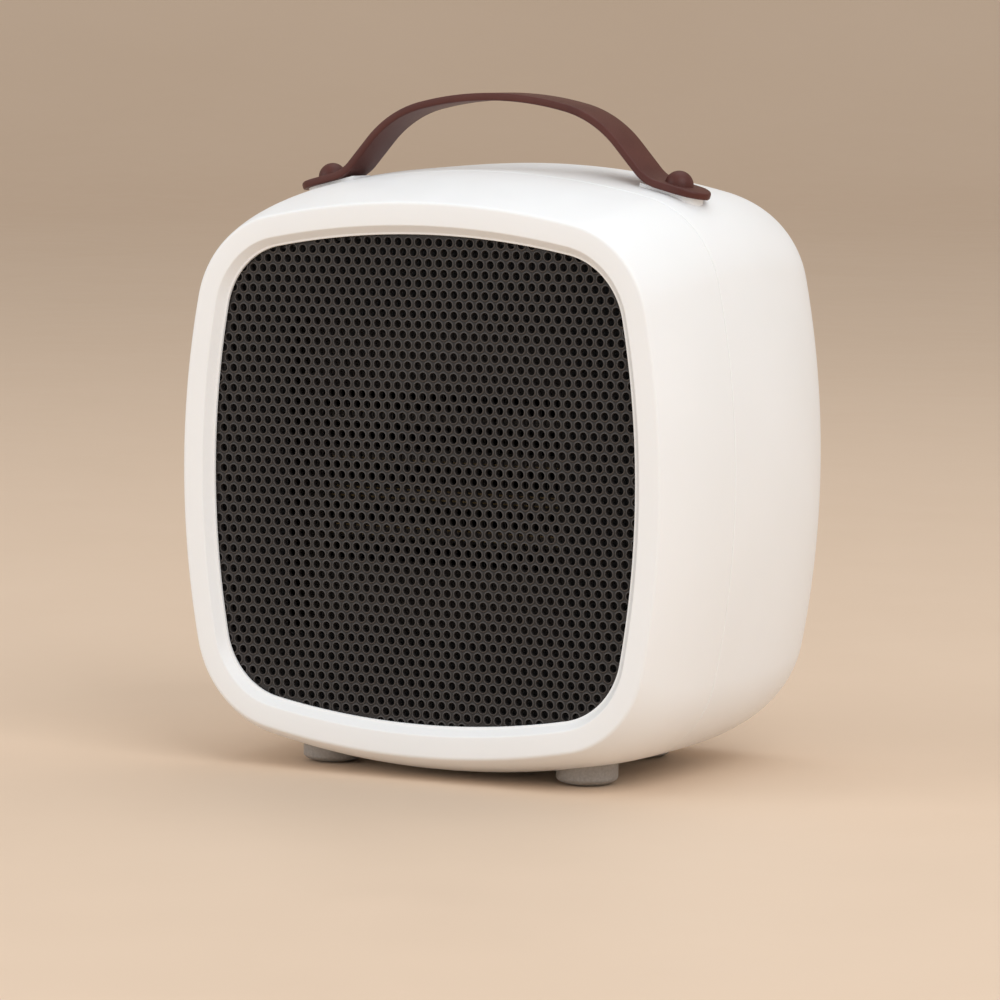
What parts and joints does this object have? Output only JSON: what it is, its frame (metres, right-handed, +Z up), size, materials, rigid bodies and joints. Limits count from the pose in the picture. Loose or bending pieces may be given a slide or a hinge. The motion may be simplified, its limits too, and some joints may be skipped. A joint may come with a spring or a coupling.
{
  "type": "ceramic space heater",
  "caption": "Small rounded-cube ceramic fan heater with a perforated front grille, a carrying strap, rubber feet, a rear rocker switch and a tip-over plunger.",
  "frame": {"origin": "on the ground, under the middle of the body (centre of the bounding box's bottom face)", "axes": "+Z up; the front grille faces -Y; +X is the heater's left side, which is on the right as one looks at the grille"},
  "size_m": [0.19, 0.122, 0.22],
  "materials": {
    "shell_white": "satin",
    "guard_white": "satin",
    "grille_charcoal": "matte",
    "frame_black": "matte",
    "duct_grey": "matte",
    "heater_board": "matte",
    "ptc_ceramic": "matte",
    "electrode_brass": "satin",
    "fin_alloy": "satin",
    "thermostat_brown": "matte",
    "steel": "satin",
    "armature_iron": "matte",
    "commutator_copper": "satin",
    "magnet_black": "matte",
    "nylon_natural": "satin",
    "board_green": "satin",
    "capacitor_yellow": "satin",
    "strap_brown": "satin",
    "foot_rubber": "satin"
  },
  "bodies": {
    "casing": {"front_shell": "shell_white", "rear_shell": "shell_white", "front_grille": "grille_charcoal", "grille_frame": "frame_black", "grille_screws": "steel", "tie_screws": "steel", "air_duct": "duct_grey", "duct_screws": "steel", "heater_frame": "heater_board", "heater_holders": "heater_board", "ptc_stones": "ptc_ceramic", "ptc_electrodes": "electrode_brass", "heater_fins": "fin_alloy", "thermostat": "thermostat_brown", "thermal_fuse": "fin_alloy", "motor_can": "steel", "motor_cap": "frame_black", "motor_magnets": "magnet_black", "motor_bushes": "electrode_brass", "motor_brushes": "magnet_black", "motor_bracket": "duct_grey", "bracket_screws": "steel", "motor_screws": "steel", "rear_grille": "guard_white", "rear_grille_screws": "steel", "rocker_frame": "frame_black", "tip_spring": "steel", "tip_bracket": "nylon_natural", "tip_switch": "frame_black", "control_board": "board_green", "relays": "frame_black", "capacitor": "capacitor_yellow", "terminal_block": "board_green", "board_screws": "steel", "cord_gland": "frame_black", "gland_nut": "frame_black", "handle_strap": "strap_brown", "handle_rivets": "strap_brown", "strap_washers": "steel", "strap_screws": "steel", "feet": "foot_rubber"},
    "fan_rotor": {"fan": "duct_grey", "fan_clip": "steel", "motor_shaft": "steel", "armature": "armature_iron", "commutator": "commutator_copper"},
    "rocker": {"rocker_button": "frame_black"},
    "plunger": {"tip_plunger": "nylon_natural"},
    "lever": {"tip_lever": "steel"}
  },
  "joints": [
    {"name": "fan_spin", "type": "hinge", "parent": "casing", "child": "fan_rotor", "pos_m": [0, 0.001, 0.0969], "axis": [0, 1, 0], "continuous": true},
    {"name": "rocker_tilt", "type": "hinge", "parent": "casing", "child": "rocker", "pos_m": [0, 0.056, 0.031], "axis": [1, 0, 0], "range_deg": [-8, 8]},
    {"name": "tip_slide", "type": "slide", "parent": "casing", "child": "plunger", "axis": [0, 0, -1], "range_m": [0, 0.004], "stiffness_N_per_m": 20, "springref_m": 0.0045, "deforming": ["tip_spring"]},
    {"name": "tip_lever_swing", "type": "hinge", "parent": "casing", "child": "lever", "pos_m": [0.022, 0.012, 0.0272], "axis": [0, 1, 0], "range_deg": [0, 22.5]}
  ],
  "couplings": [
    {"joint": "tip_lever_swing", "follows": "tip_slide", "rad_per_m": 95}
  ]
}
